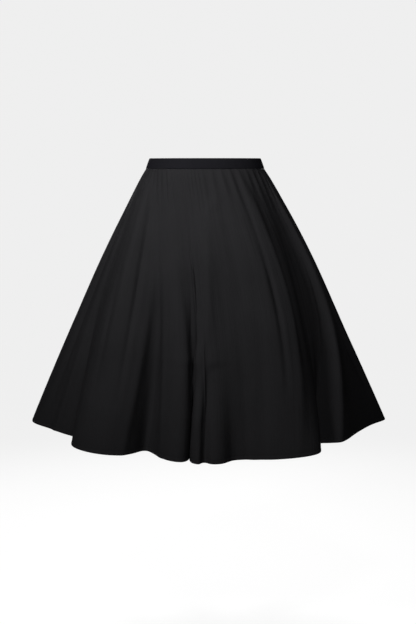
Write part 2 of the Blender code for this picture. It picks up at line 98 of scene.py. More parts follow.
# %% Helpers for materials
def feed(tree, node, inputs):
    """Gives inputs, by name or number, their values, or links them to other nodes' outputs."""
    for key, value in inputs.items():
        if isinstance(value, bpy.types.NodeSocket):
            tree.links.new(value, node.inputs[key])
        else:
            node.inputs[key].default_value = value


def add_node(tree, kind, inputs, **settings):
    """A new node of that kind with its settings and inputs."""
    node = tree.nodes.new("ShaderNode" + kind)
    for key, value in settings.items():
        setattr(node, key, value)
    feed(tree, node, inputs)
    return node


def calc(tree, operation, *values):
    """The result of a Math node whose inputs are numbers or other nodes' outputs."""
    return add_node(tree, "Math", dict(enumerate(values)), operation=operation).outputs[0]


def new_material(name):
    """A new material, its node tree and its main shader."""
    material = bpy.data.materials.new(name)
    material.use_nodes = True
    return material, material.node_tree, material.node_tree.nodes["Principled BSDF"]


def wear(piece, material):
    piece.data.materials.clear()
    piece.data.materials.append(material)


print("helpers for materials are ready")

# %% [markdown]
# ## The camera
#
# The photograph looks straight at the front from the height of the waist, tilted a little down, from nearly three
# metres away. The tilt is what shows the hem from slightly above.

# %% Camera
CAMERA_PLACE = (0.0067, -2.8, 0.0)
CAMERA_TILT_DEG = 7.006
CAMERA_LENS = 69.71

bpy.ops.object.camera_add(location=CAMERA_PLACE, rotation=(math.radians(90 - CAMERA_TILT_DEG), 0, 0))
camera = name_active("camera")
camera.data.sensor_width = 36
camera.data.lens = CAMERA_LENS
bpy.context.scene.camera = camera
print("camera", round(camera.data.lens, 2), "mm, tilted", CAMERA_TILT_DEG, "degrees down")

# %% [markdown]
# ## The studio
#
# A pale floor sweeps up into a pale wall, so no line shows between them. It is a flat grid whose far end is bent up
# along an arc. The waist is about a metre above the floor, as on a standing person. The paper glows a little for the
# camera alone, which keeps it pale, and throws hardly any light back, because black cloth would show every bit of it.

# %% Floor and backdrop in one sweep
FLOOR_Z = -1.05
SWEEP_START_Y = 4.5
SWEEP_RADIUS = 1.4
STUDIO_HALF_WIDTH = 9.0
STUDIO_FRONT_Y = -7.0
WALL_HEIGHT = 3.5
STUDIO_ROWS = 120
PAPER_GLOW = 0.86


def sweep_point(distance):
    """Where a point of the floor ends up, by its distance from the studio's front edge."""
    flat = SWEEP_START_Y - STUDIO_FRONT_Y
    arc = SWEEP_RADIUS * math.pi / 2
    if distance < flat:
        return STUDIO_FRONT_Y + distance, FLOOR_Z
    if distance < flat + arc:
        turn = (distance - flat) / SWEEP_RADIUS
        return SWEEP_START_Y + SWEEP_RADIUS * math.sin(turn), FLOOR_Z + SWEEP_RADIUS * (1 - math.cos(turn))
    return SWEEP_START_Y + SWEEP_RADIUS, FLOOR_Z + SWEEP_RADIUS + distance - flat - arc


sweep_length = SWEEP_START_Y - STUDIO_FRONT_Y + SWEEP_RADIUS * math.pi / 2 + WALL_HEIGHT
bpy.ops.mesh.primitive_grid_add(x_subdivisions=4, y_subdivisions=STUDIO_ROWS, size=1)
studio = name_active("studio_sweep")
for vertex in studio.data.vertices:
    y, z = sweep_point((vertex.co.y + 0.5) * sweep_length)
    vertex.co = (vertex.co.x * 2 * STUDIO_HALF_WIDTH, y, z)
bpy.ops.object.shade_smooth()

pale, tree, shader = new_material("pale studio paper")
ray = add_node(tree, "LightPath", {})
glow = add_node(tree, "MapRange", {"Value": ray.outputs["Is Camera Ray"], "To Min": 0.0, "To Max": PAPER_GLOW})
feed(tree, shader, {
    "Base Color": (0.15, 0.15, 0.15, 1),
    "Roughness": 0.9,
    "Specular IOR Level": 0.1,
    "Emission Color": (1, 1, 1, 1),
    "Emission Strength": glow.outputs["Result"],
})
wear(studio, pale)
print("studio sweep", round(sweep_length, 2), "m long")

# %% [markdown]
# ## The light
#
# Black cloth shows its folds only by how it catches the light. The key light stands near the skirt, above and to the
# left of the camera, so each fold has its shade on its right side. It and the light above it have grids, which hold
# the light to the middle and let it fall off towards the sides and the hem. One soft light high behind shows the
# back and leaves the front's edges dark. No lamp is seen by the camera itself.

# %% Lights
LIGHT_COLUMNS = ("name", "place", "aim", "size", "spread_deg", "watts")
LIGHTS = (
    ("key", (-0.75, -0.95, 0.63), (0.10, -0.05, -0.10), 0.30, 90, 4.5),
    ("top", (0.26, -0.95, 0.92), (0.02, -0.10, -0.12), 0.35, 90, 2.3),
    ("back", (-0.35, 2.10, 1.30), (0.0, 0.0, -0.25), 0.60, 90, 30.0),
)
AIR_LIGHT = 0.015
AIR_SEEN = 0.92

for row in LIGHTS:
    light = dict(zip(LIGHT_COLUMNS, row))
    aim = Vector(light["aim"]) - Vector(light["place"])
    bpy.ops.object.light_add(type="AREA", location=light["place"], rotation=aim.to_track_quat("-Z", "Y").to_euler())
    lamp = name_active(light["name"])
    lamp.data.size = light["size"]
    lamp.data.spread = math.radians(light["spread_deg"])
    lamp.data.energy = light["watts"]
    lamp.visible_camera = False

world = bpy.data.worlds.new("studio air")
world.use_nodes = True
air = world.node_tree
seen = add_node(air, "LightPath", {})
strength = add_node(air, "MapRange", {
    "Value": seen.outputs["Is Camera Ray"], "To Min": AIR_LIGHT, "To Max": AIR_SEEN,
})
feed(air, air.nodes["Background"], {"Color": (1, 1, 1, 1), "Strength": strength.outputs["Result"]})
bpy.context.scene.world = world
bpy.context.scene.view_settings.view_transform = "Standard"
print(len(LIGHTS), "lights")

# %% [markdown]
# ## How the skirt falls
#
# The form is worked out from two closed curves: the waist, which is an ellipse, and the hem, which winds through
# the flutes of the table. Straight lines of cloth run from one to the other, and the folds grow on the way down.
# These numbers are the same as in the solid pieces, so the cloth follows them closely, apart from some creases
# that come further on.

# %% Sizes and the table of flutes
WAIST_DEPTH_SHARE = 0.75
BAND_TOP_Z = 12.0 * MM
BAND_LOW_Z = -12.0 * MM
BAND_TOP_HALF_WIDTH = 127.6 * MM
BAND_LOW_HALF_WIDTH = 136.4 * MM
SEAM_Z = BAND_LOW_Z - 0.3 * MM
SEAM_HALF_WIDTH = BAND_LOW_HALF_WIDTH - 0.7 * MM
CLOTH_WALL = 1.2 * MM
HEM_WALL = 2.0 * MM
HEM_SIDE_Z = -603.0 * MM
HEM_FRONT_Z = -632.0 * MM
HEM_BACK_Z = -626.0 * MM

FLUTE_COLUMNS = (
    "name", "first_deg", "first_mm", "second_deg", "second_mm", "hollow_deg", "hollow_mm",
    "waist_deg", "columns", "rise", "sway_mm",
)
FLUTES = (
    ("right_side", -96.5, 404, -88.5, 406, -77.0, 363, -84, 12, 0.95, 0),
    ("right_hip", -71.0, 347, -66.2, 333, -61.8, 326, -74, 8, 0.60, -40),
    ("right_front", -57.2, 350, -34.0, 309, -30.8, 251, -50, 20, 0.75, 14),
    ("right_inner", -16.8, 286, -8.6, 285, -7.3, 250, -26, 16, 0.72, 20),
    ("small_right", -4.9, 296, -2.2, 301, -0.8, 290, -18, 8, 0.24, 10),
    ("small_left", 1.4, 297, 7.4, 300, 12.0, 282, -4, 16, 0.36, 6),
    ("left_front", 22.5, 304, 47.2, 341, 51.0, 300, 68, 32, 0.46, 84),
    ("left_hip", 57.0, 345, 66.5, 360, 77.5, 373, 82, 16, 0.90, 54),
    ("left_side", 87.0, 403, 93.5, 429, 101.5, 382, 101, 12, 1.00, 0),
    ("left_back", 109.0, 388, 122.0, 370, 128.0, 318, 125, 16, 0.80, 0),
    ("left_back_mid", 138.0, 350, 150.0, 338, 155.0, 288, 151, 16, 0.90, -8),
    ("left_back_inner", 163.0, 326, 173.0, 324, 180.0, 280, 180, 16, 0.70, 0),
    ("right_back_inner", 188.0, 324, 198.0, 328, 204.0, 284, 208, 16, 0.75, 8),
    ("right_back_mid", 211.0, 338, 223.0, 350, 230.0, 310, 234, 16, 0.85, -6),
    ("right_back", 237.0, 366, 250.0, 390, 257.0, 372, 259, 16, 0.80, 0),
)
SWAY_POWER = 1.1
flutes = [dict(zip(FLUTE_COLUMNS, row)) for row in FLUTES]
flute_start = np.concatenate([[0], np.cumsum([flute["columns"] for flute in flutes])])
ALL_COLUMNS = int(flute_start[-1])
print(len(flutes), "flutes over", ALL_COLUMNS, "strips of cloth")

# %% [markdown]
# The hem is a smooth closed curve, the line a thin springy strip takes through those points. Solving for its bends
# once gives a curve without kinks at any density, which a chain of straight edges could not.

# %% A smooth closed curve through points
def direction(degrees):
    """The level unit vector that many degrees round from the front, towards the wearer's left."""
    angle = np.radians(degrees)
    return np.stack([np.sin(angle), -np.cos(angle)], axis=-1)


def on_ellipse(half_width, degrees):
    return direction(degrees) * np.stack([half_width, half_width * WAIST_DEPTH_SHARE], axis=-1)


def closed_spline(points):
    """The smooth closed curve through points, as a function of distance, and each point's distance."""
    p = np.asarray(points)
    n = len(p)
    run = np.linalg.norm(np.roll(p, -1, 0) - p, axis=1)
    system = np.zeros((n, n))
    bend = np.zeros_like(p)
    for i in range(n):
        j = (i + 1) % n
        system[i, i - 1] = run[i - 1]
        system[i, i] = 2 * (run[i - 1] + run[i])
        system[i, j] = run[i]
        bend[i] = 6 * ((p[j] - p[i]) / run[i] - (p[i] - p[i - 1]) / run[i - 1])
    second = np.linalg.solve(system, bend)
    knots = np.concatenate([[0.0], np.cumsum(run)])

    def at(distance):
        distance = np.asarray(distance) % knots[-1]
        i = np.clip(np.searchsorted(knots, distance, "right") - 1, 0, n - 1)
        j = (i + 1) % n
        span = run[i][:, None]
        ahead = (knots[i + 1] - distance)[:, None]
        past = (distance - knots[i])[:, None]
        curved = (second[i] * ahead**3 + second[j] * past**3) / (6 * span)
        return curved + (p[i] / span - second[i] * span / 6) * ahead + (p[j] / span - second[j] * span / 6) * past

    return at, knots


hem_points = [
    direction(flute[place + "_deg"]) * flute[place + "_mm"] * MM
    for flute in flutes
    for place in ("first", "second", "hollow")
]
hem_curve, hem_knots = closed_spline(hem_points)
print("hem", round(float(hem_knots[-1]), 3), "m round, measured straight between its points")

# %% [markdown]
# Each strip of cloth has a number, counted round the skirt, and may lie between two whole ones. Strips stand closer
# together where the hem bends tightly, so that small flutes stay round.

# %% What is known about a strip of cloth from its number
TIGHT_BEND_WEIGHT = 10.0 * MM
CURVE_SAMPLES = 600


def strip_facts(strips):
    """For strips given by number: hem point in plan, waist degrees, fold rise, sway, place in the table."""
    hem = np.empty((len(strips), 2))
    waist, rise, sway, table_place = np.empty((4, len(strips)))
    turns = np.floor(strips / ALL_COLUMNS)
    wrapped = strips - turns * ALL_COLUMNS
    for i, flute in enumerate(flutes):
        here = (wrapped >= flute_start[i]) & (wrapped < flute_start[i + 1])
        share = (wrapped[here] - flute_start[i]) / flute["columns"]
        start = hem_knots[3 * i - 1] if i else hem_knots[-2] - hem_knots[-1]
        fine = np.linspace(start, hem_knots[3 * i + 2], CURVE_SAMPLES)
        steps = np.diff(hem_curve(fine), axis=0)
        turn = np.abs(np.diff(np.unwrap(np.arctan2(steps[:, 1], steps[:, 0]))))
        effort = np.linalg.norm(steps, axis=1) + TIGHT_BEND_WEIGHT * np.concatenate([[0.0], turn])
        effort = np.concatenate([[0.0], np.cumsum(effort)])
        hem[here] = hem_curve(np.interp(share * effort[-1], effort, fine))
        before = flutes[i - 1]["waist_deg"] - (0 if i else 360)
        waist[here] = before + (flute["waist_deg"] - before) * share
        rise[here] = flutes[i - 1]["rise"] * (1 - share) + flute["rise"] * share
        sway[here] = (flutes[i - 1]["sway_mm"] * (1 - share) + flute["sway_mm"] * share) * MM
        table_place[here] = i + share
    return hem, waist + 360 * turns, rise, sway, table_place


all_hem, all_waist, all_rise, all_sway, all_place = strip_facts(np.arange(ALL_COLUMNS * 1.0))
print("strips at the side seams:", all_waist[np.searchsorted(all_place, [0.5, 8.5])], "degrees")

# %% [markdown]
# Between the folds the skirt has a plain, smooth form, which is the hem averaged over a hand's breadth. Cloth
# flares quickest just under the waist, and the folds rise from the hem to their own height.

# %% The plain form, the flare and the growth of folds
PLAIN_FORM_REACH = 75.0 * MM
FLARE_END = 0.86
FLARE_START = 1.32
FLARE_FADE = 0.28
FOLD_START_POWER = 1.35


def averaged(values, path, reach):
    """Each point's value averaged with its neighbours' along a closed path, within about reach."""
    after = np.linalg.norm(np.roll(path, -1, 0) - path, axis=1)
    place = np.concatenate([[0.0], np.cumsum(after)[:-1]])
    total = after.sum()
    apart = np.abs((place[:, None] - place[None, :] + total / 2) % total - total / 2)
    share = np.exp(-((apart / reach) ** 2)) * (after + np.roll(after, 1))
    return share @ values / share.sum(axis=1)[:, None]


plain_hem = averaged(all_hem, all_hem, PLAIN_FORM_REACH)
plain_sideways = np.roll(plain_hem, -1, 0) - np.roll(plain_hem, 1, 0)
plain_sideways /= np.linalg.norm(plain_sideways, axis=1, keepdims=True)


def round_skirt(values, strips):
    """Values known at whole strips, read between them, going round the skirt."""
    closed = np.concatenate([values, values[:1]])
    return np.stack([np.interp(strips % ALL_COLUMNS, np.arange(ALL_COLUMNS + 1), column) for column in closed.T], -1)


def flare(share):
    """How far out the plain form is, from 0 at the waist seam to 1 at the hem."""
    def out(s):
        return FLARE_END * s + (FLARE_START - FLARE_END) * FLARE_FADE * (1 - np.exp(-s / FLARE_FADE))

    return out(share) / out(1.0)


def fold_growth(share, rise):
    """How deep the hem's folds are at a height: nothing above their rise, whole at the hem."""
    climbed = np.clip((share - (1 - rise)) / rise, 0.0, 1.0)
    return 0.5 * climbed**FOLD_START_POWER + 0.5 * climbed**2 * (3 - 2 * climbed)


def hem_height(hem):
    """The hem dips at the front and back, where the skirt flares least."""
    across = np.cos(np.arctan2(hem[:, 0], -hem[:, 1]))
    lowest = np.where(across > 0, HEM_FRONT_Z, HEM_BACK_Z)
    return HEM_SIDE_Z + (lowest - HEM_SIDE_Z) * across**2


print("the plain hem lies", round(float(np.linalg.norm(plain_hem - all_hem, axis=1).max()) / MM), "mm from the folds")

# %% [markdown]
# ## Creases and gathers
#
# Soft creases run down from the waist between the flutes. Each is a shallow trough, or a ridge where its depth is
# negative. They are placed to follow the picture, with similar ones at the back. The hollow at the
# front's middle and the length of three creases beside it are in this scene alone, and there the cloth lies up
# to 9 mm away from its solid piece.

# %% The table of creases
CREASE_COLUMNS = ("name", "waist_place", "hem_place", "from_share", "to_share", "half_width_mm", "depth_mm")
CREASES = (
    ("right_side_hollow", 0.85, 0.85, 0.12, 0.95, 10, 7.0),
    ("right_side_ridge", 1.35, 1.15, 0.45, 1.20, 10, -3.0),
    ("right_edge_line", 2.45, 2.42, 0.35, 0.85, 7, 3.0),
    ("right_front_ridge", 2.55, 2.50, 0.03, 0.75, 13, -5.0),
    ("right_front_line", 2.79, 2.62, 0.00, 0.85, 7, 6.0),
    ("right_front_low_ridge", 3.05, 2.74, 0.30, 1.15, 11, -4.0),
    ("right_front_hollow", 3.05, 2.97, 0.30, 1.20, 14, 5.0),
    ("right_inner_ridge", 3.05, 3.34, 0.30, 1.10, 10, -3.5),
    ("right_inner_line", 4.00, 3.98, 0.00, 1.05, 7, 5.0),
    ("centre_hollow", 4.40, 4.10, 0.02, 0.85, 24, 6.0),
    ("small_right_line", 5.25, 5.15, 0.05, 1.25, 8, 3.5),
    ("front_ridge", 6.30, 4.40, 0.08, 1.00, 13, -5.0),
    ("front_soft_line", 6.16, 6.18, 0.10, 0.50, 12, 2.5),
    ("front_soft_hollow", 6.30, 6.24, 0.35, 1.30, 14, 2.5),
    ("small_left_low_hollow", 6.10, 6.13, 0.45, 1.30, 9, 2.0),
    ("left_front_line", 6.42, 6.42, 0.00, 0.80, 7, 5.5),
    ("left_front_ridge", 6.55, 6.52, 0.00, 1.00, 12, -5.0),
    ("left_front_soft_hollow", 6.63, 6.58, 0.02, 0.72, 12, 8.0),
    ("left_front_edge", 6.90, 6.88, 0.40, 1.20, 8, -3.0),
    ("left_front_hollow", 6.92, 7.06, 0.05, 0.90, 7, 2.5),
    ("left_hip_ridge", 7.40, 7.40, 0.25, 1.20, 11, -4.5),
    ("left_hip_line", 7.38, 8.55, 0.15, 0.90, 11, 11.0),
    ("left_back_line", 9.60, 9.60, 0.02, 0.65, 9, 4.0),
    ("left_back_ridge", 10.40, 10.30, 0.10, 0.90, 12, -3.5),
    ("left_back_inner_line", 11.40, 11.40, 0.10, 0.60, 9, 3.5),
    ("right_back_inner_line", 12.45, 12.45, 0.10, 0.60, 9, 4.0),
    ("right_back_ridge", 13.50, 13.60, 0.05, 0.85, 12, -3.5),
    ("right_back_line", 14.35, 14.35, 0.02, 0.65, 9, 4.0),
)
CREASE_END_POWER = 0.7
creases = [dict(zip(CREASE_COLUMNS, row)) for row in CREASES]


def crease_depth(strips, table_place, spacing, share):
    """How far in each strip lies because of the creases."""
    depth = np.zeros(len(strips))
    for crease in creases:
        if not crease["from_share"] < share < crease["to_share"]:
            continue
        place = crease["waist_place"] + (crease["hem_place"] - crease["waist_place"]) * share
        middle = np.interp(place, all_place, np.arange(ALL_COLUMNS))
        climb = (share - crease["from_share"]) / (crease["to_share"] - crease["from_share"])
        apart = (strips - middle + ALL_COLUMNS / 2) % ALL_COLUMNS - ALL_COLUMNS / 2
        apart = apart * np.interp(middle, strips, spacing)
        across = np.exp(-((apart / (crease["half_width_mm"] * MM)) ** 2))
        depth += crease["depth_mm"] * MM * across * math.sin(math.pi * climb) ** CREASE_END_POWER
    return depth


print(len(creases), "creases")

# %% [markdown]
# Gathers are small waves where the cloth is drawn up on its thread. They are crisp at the seam and fade at uneven
# lengths, and finer streaks run on below them. A fixed seed gives the same unevenness every time.

# %% Gathers and fine streaks
GATHER_COLUMNS = 4
GATHER_DEEPEST = 1.6 * MM
GATHER_SHARE_OF_WAVE = 0.09
GATHER_AT_SEAM = 0.35
GATHER_FULL_AT = 0.035
GATHER_SHORTEST = 0.04
GATHER_LONGEST = 0.13
GATHER_SMALLEST = 0.65
GATHER_SEED = 11
SHARPENING = 0.22
SHARPENING_FADE = 0.05
ZIP_FLAT_DEG = 12.0
STREAKS = 90
STREAK_DEEPEST = 1.7 * MM
STREAK_LEAN = 2.5
STREAK_LOWEST_START = 0.35
STREAK_LENGTHS = (0.25, 0.6)
STREAK_WIDTHS_MM = (4.0, 9.0)
STREAK_SEED = 23

waves = ALL_COLUMNS // GATHER_COLUMNS
uneven = np.random.default_rng(GATHER_SEED)
gather_length = uneven.uniform(GATHER_SHORTEST, GATHER_LONGEST, waves)
gather_size = uneven.uniform(GATHER_SMALLEST, 1.0, waves)
streak_rng = np.random.default_rng(STREAK_SEED)
streak_strip = streak_rng.uniform(0, ALL_COLUMNS, STREAKS)
streak_lean = streak_rng.uniform(-STREAK_LEAN, STREAK_LEAN, STREAKS)
streak_from = streak_rng.uniform(0.0, STREAK_LOWEST_START, STREAKS)
streak_long = streak_rng.uniform(*STREAK_LENGTHS, STREAKS)
streak_width = streak_rng.uniform(*STREAK_WIDTHS_MM, STREAKS) * MM
streak_depth = streak_rng.uniform(-1.0, 1.0, STREAKS) * STREAK_DEEPEST


def flat_by_zip(waist):
    """0 along the zip at the centre back, where the cloth is sewn flat, and 1 away from it."""
    return np.clip(np.abs(waist % 360 - 180) / ZIP_FLAT_DEG - 0.5, 0.0, 1.0)


def gather_depth(strips, waist, share):
    """How far each strip stands out or in because of the gathers."""
    spacing = np.gradient(waist, strips)
    wave_width = np.radians(spacing) * SEAM_HALF_WIDTH * GATHER_COLUMNS
    number = strips / GATHER_COLUMNS - 0.5
    length = np.interp(number % waves, np.arange(waves), gather_length, period=waves)
    size = np.interp(number % waves, np.arange(waves), gather_size, period=waves)
    beat = np.cos(2 * np.pi * strips / GATHER_COLUMNS)
    sharper = SHARPENING * np.cos(4 * np.pi * strips / GATHER_COLUMNS) * math.exp(-share / SHARPENING_FADE)
    if share < GATHER_FULL_AT:
        fade = GATHER_AT_SEAM + (1 - GATHER_AT_SEAM) * share / GATHER_FULL_AT
    else:
        fade = np.exp(-(((share - GATHER_FULL_AT) / length) ** 2))
    away = flat_by_zip(waist)
    return np.minimum(GATHER_DEEPEST, GATHER_SHARE_OF_WAVE * wave_width) * size * (beat + sharper) * fade * away


def streak_push(strips, spacing, share):
    """Fine long streaks, which start among the gathers and run on down the cloth."""
    push = np.zeros(len(strips))
    for k in range(STREAKS):
        climb = (share - streak_from[k]) / streak_long[k]
        if not 0 < climb < 1:
            continue
        apart = strips - streak_strip[k] - streak_lean[k] * climb
        apart = ((apart + ALL_COLUMNS / 2) % ALL_COLUMNS - ALL_COLUMNS / 2) * spacing
        push += streak_depth[k] * np.exp(-((apart / streak_width[k]) ** 2)) * math.sin(math.pi * climb)
    return push


print(waves, "gathers and", STREAKS, "streaks")

# %% [markdown]
# Now the surface itself. For each height the plan is the waist's curve moving out to the plain form, with the folds
# added. Gathers, creases and streaks then push the cloth out or in along its own normal. Nothing here stops a
# narrow fold from crossing itself, and the one at the front's middle does so at its floor.

# %% Points on the outer face of the cloth
def outward(grid):
    """Unit normals of rows of points, pointing out of the skirt."""
    normal = np.cross(np.gradient(grid, axis=0), np.gradient(grid, axis=1))
    return normal / np.linalg.norm(normal, axis=2, keepdims=True)


def cloth_points(strips, shares):
    """Rows of points for those strips of cloth, from the waist seam to the hem, and their outward normals."""
    hem, waist, rise, sway, table_place = strip_facts(strips)
    plain = round_skirt(plain_hem, strips)
    seam = on_ellipse(np.full(len(strips), SEAM_HALF_WIDTH), waist)
    sideways = round_skirt(plain_sideways, strips)
    low = hem_height(hem)
    rows = []
    for share in shares:
        out = flare(share)
        plan = seam * (1 - out) + plain * out + (hem - plain) * fold_growth(share, rise)[:, None]
        plan += sideways * (sway * math.sin(math.pi * share**SWAY_POWER))[:, None]
        rows.append(np.column_stack([plan, SEAM_Z + (low - SEAM_Z) * share]))
    grid = np.array(rows)
    normal = outward(grid)
    for i, share in enumerate(shares):
        spacing = np.linalg.norm(np.gradient(grid[i], strips, axis=0), axis=1)
        push = gather_depth(strips, waist, share) - crease_depth(strips, table_place, spacing, share)
        push += streak_push(strips, spacing, share) * flat_by_zip(waist)
        grid[i, :, :2] += normal[i, :, :2] * push[:, None]
    return grid, outward(grid)


# %% [markdown]
# ## The cloth panels
#
# Three flat pieces make the skirt: one front and two backs, each cut as part of a ring. First come the rows of points
# down the cloth, which lie closer together where the gathers and the turned hem need them.

# %% Rows down the cloth, and the shape of the sewn hem
CLOTH_LENGTH = 0.655
HEM_TURN = 11.0 * MM
STITCH_LINE = 9.0 * MM
STITCH_DIP = 0.35 * MM
STITCH_DIP_REACH = 1.6 * MM
EDGE_ROLL = 0.7 * MM
EDGE_ROLL_REACH = 0.9 * MM
ROWS_NEAR_WAIST = np.linspace(0.0, 0.07, 10)
ROWS_BETWEEN = np.linspace(0.07, 0.978, 86)[1:]
ROWS_IN_HEM = np.array([0.9815, 0.9835, 0.986, 0.989, 0.992, 0.9945, 0.9965, 0.9985, 1.0])
cloth_shares = np.concatenate([ROWS_NEAR_WAIST, ROWS_BETWEEN, ROWS_IN_HEM])


def hem_roll(share):
    """How far in the outer face lies near the hem: a faint dip at the stitches, and the folded edge."""
    up = (1 - share) * CLOTH_LENGTH
    dip = STITCH_DIP * math.exp(-(((up - STITCH_LINE) / STITCH_DIP_REACH) ** 2))
    roll = EDGE_ROLL * math.exp(-((up / EDGE_ROLL_REACH) ** 2))
    return dip + roll


print(len(cloth_shares), "rows of points down the cloth")

# %% [markdown]
# At each long edge the cloth dips into its seam, as at a seam that has been pressed open. It runs a hair into the
# next piece, because a sewn seam lets no light through.

# %% Where a panel's cloth lies
SEAM_OVERLAP = 0.25 * MM
SEAM_DIP = 0.5 * MM
SEAM_DIP_REACH = 2.5 * MM
CLOSE_TO_SEAM = np.array([0.03, 0.1, 0.2])
STRIP_BEYOND_SEAM = 0.25


def strip_at(place):
    """The strip at a place in the table of flutes, counting on past the last flute."""
    turn, rest = divmod(place, len(flutes))
    return turn * ALL_COLUMNS + float(np.interp(rest, all_place, np.arange(ALL_COLUMNS)))


def strips_between(from_place, to_place, fineness):
    """A panel's strips from seam to seam, fineness of them to each column, and closer beside the seams."""
    first, last = strip_at(from_place), strip_at(to_place)
    even = np.linspace(first, last, int(round((last - first) * fineness)) + 1)
    return np.unique(np.concatenate([even, first + CLOSE_TO_SEAM, last - CLOSE_TO_SEAM]))


def draped(strips):
    """Rows of points on the outer face for those strips, sunk into both seams and turned in at the hem."""
    wide = np.concatenate([[strips[0] - STRIP_BEYOND_SEAM], strips, [strips[-1] + STRIP_BEYOND_SEAM]])
    grid, normal = cloth_points(wide, cloth_shares)
    grid, normal = grid[:, 1:-1], normal[:, 1:-1]
    steps = np.linalg.norm(np.diff(grid, axis=1), axis=2)
    walked = np.concatenate([np.zeros((len(grid), 1)), np.cumsum(steps, axis=1)], axis=1)
    to_edge = np.minimum(walked, walked[:, -1:] - walked)
    dip = SEAM_DIP * np.exp(-((to_edge / SEAM_DIP_REACH) ** 2))
    dip += np.array([hem_roll(share) for share in cloth_shares])[:, None]
    grid = grid - normal * dip[..., None]
    along = np.diff(grid, axis=1)
    along /= np.linalg.norm(along, axis=2, keepdims=True)
    grid[:, 0] -= along[:, 0] * SEAM_OVERLAP / 2
    grid[:, -1] += along[:, -1] * SEAM_OVERLAP / 2
    return grid, normal


print("front panel from strip", round(strip_at(0.5), 2), "to", round(strip_at(8.5), 2))

# %% [markdown]
# A sheet of cloth starts as what it is, a flat grid. Its points are then moved to where that cloth hangs, the way one
# lays a sheet over a form by hand. Its UV maps are laid out flat in metres, so that a weave follows the cloth.

# %% A flat sheet moved into place
def sheet_object(name, grid, maps):
    """A grid whose points take the given rows of places, with one UV map for each name and rows of (u, v).
    Also gives each vertex's row."""
    rows, columns = grid.shape[:2]
    bpy.ops.mesh.primitive_grid_add(x_subdivisions=columns - 1, y_subdivisions=rows - 1, size=1)
    sheet = name_active(name)
    mesh = sheet.data
    flat = np.empty(len(mesh.vertices) * 3)
    mesh.vertices.foreach_get("co", flat)
    flat = flat.reshape(-1, 3)
    column = np.rint((flat[:, 0] + 0.5) * (columns - 1)).astype(int)
    row = np.rint((0.5 - flat[:, 1]) * (rows - 1)).astype(int)
    mesh.vertices.foreach_set("co", grid[row, column].ravel())
    corner = np.empty(len(mesh.loops), dtype=int)
    mesh.loops.foreach_get("vertex_index", corner)
    mesh.uv_layers.remove(mesh.uv_layers[0])
    for map_name, places in maps.items():
        layer = mesh.uv_layers.new(name=map_name)
        layer.data.foreach_set("uv", places[row, column][corner].ravel())
    mesh.update()
    return sheet, row


def evenly_laid(columns, down, width):
    """Flat places for a straight sheet, width metres across, whose rows lie the given metres down."""
    across = np.linspace(0, width, columns)
    return np.stack(np.broadcast_arrays(across[None, :], -np.asarray(down)[:, None]), axis=-1)


print("sheets are laid out in metres")

# %% [markdown]
# Solidify gives the cloth its thickness, which is more in the turned hem, on the inside of the surface just laid.
# The ring that each panel is cut from is narrow at the waist, where the gathers take up the rest.

# %% The three panels
CUT_INNER_RADIUS = 0.27
HEM_ROUND = 2.6
PANEL_COLUMNS = ("name", "node", "from_place", "to_place", "fineness", "cut_deg")
PANELS = (
    ("front_panel", "skirt_front", 0.5, 8.5, 3, 90),
    ("back_left_panel", "skirt_back_left", 8.5, 12.0, 5, 45),
    ("back_right_panel", "skirt_back_right", 12.0, 15.5, 5, 45),
)


def flat_cut(columns, cut_deg):
    """The panel as it is cut: part of a ring, with its grain down the middle."""
    angle = np.radians(cut_deg) * (np.linspace(0, 1, columns) - 0.5)
    radius = (CUT_INNER_RADIUS + CLOTH_LENGTH * cloth_shares)[:, None]
    return np.stack([radius * np.sin(angle), -radius * np.cos(angle)], axis=-1)


def thicken(panel, row):
    """Gives a panel its wall, which is thicker where the hem is turned up."""
    turned = (1 - cloth_shares) * CLOTH_LENGTH < HEM_TURN
    group = panel.vertex_groups.new(name="thickness")
    for r, double in enumerate(turned):
        group.add(np.nonzero(row == r)[0].tolist(), 1.0 if double else CLOTH_WALL / HEM_WALL, "REPLACE")
    apply_modifier(panel, "SOLIDIFY", thickness=HEM_WALL, offset=-1, vertex_group="thickness")
    shade(panel, CLOTH_EDGE_DEG)


panels = {}
hem_rows = []
for entry in PANELS:
    cut = dict(zip(PANEL_COLUMNS, entry))
    strips = strips_between(cut["from_place"], cut["to_place"], cut["fineness"])
    grid, normal = draped(strips)
    fall = evenly_laid(len(strips), cloth_shares * CLOTH_LENGTH, HEM_ROUND * cut["cut_deg"] / 180)
    panel, row = sheet_object(cut["name"], grid, {"flat cut": flat_cut(len(strips), cut["cut_deg"]), "fall": fall})
    to_hem = panel.data.attributes.new("above_hem", "FLOAT", "POINT")
    to_hem.data.foreach_set("value", ((1 - cloth_shares) * CLOTH_LENGTH)[row])
    thicken(panel, row)
    panels[cut["node"]] = panel
    hem_rows.append((grid, normal))
    print(cut["name"], len(strips), "strips,", triangles(panel), "triangles")

# %% [markdown]
# Each panel now takes the place of its plain piece in the frame.

# %% Putting the panels in place
for entry in PANELS:
    cut = dict(zip(PANEL_COLUMNS, entry))
    panel = panels[cut["node"]]
    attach(panel, "skirt")
    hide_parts(cut["node"])

# %% [markdown]
# ## The waistband
#
# The band is one strip folded at its top edge, so it is a little thicker than the skirt and its edges are round. A
# flat grid is bent into it: one way round the waist, and the other way round the strip's own section.

# %% Waistband
BAND_WALL = 2.4 * MM
BAND_EDGE_ROUND = 1.05 * MM
BAND_CROWN = 0.35 * MM
BAND_OPENING = 1.6 * MM
BAND_COLUMNS = 300
BAND_RIPPLE = 0.12 * MM
BAND_UV_SIZE = (0.795, 0.052)
EDGE_STEPS = 6
FACE_STEPS = 10


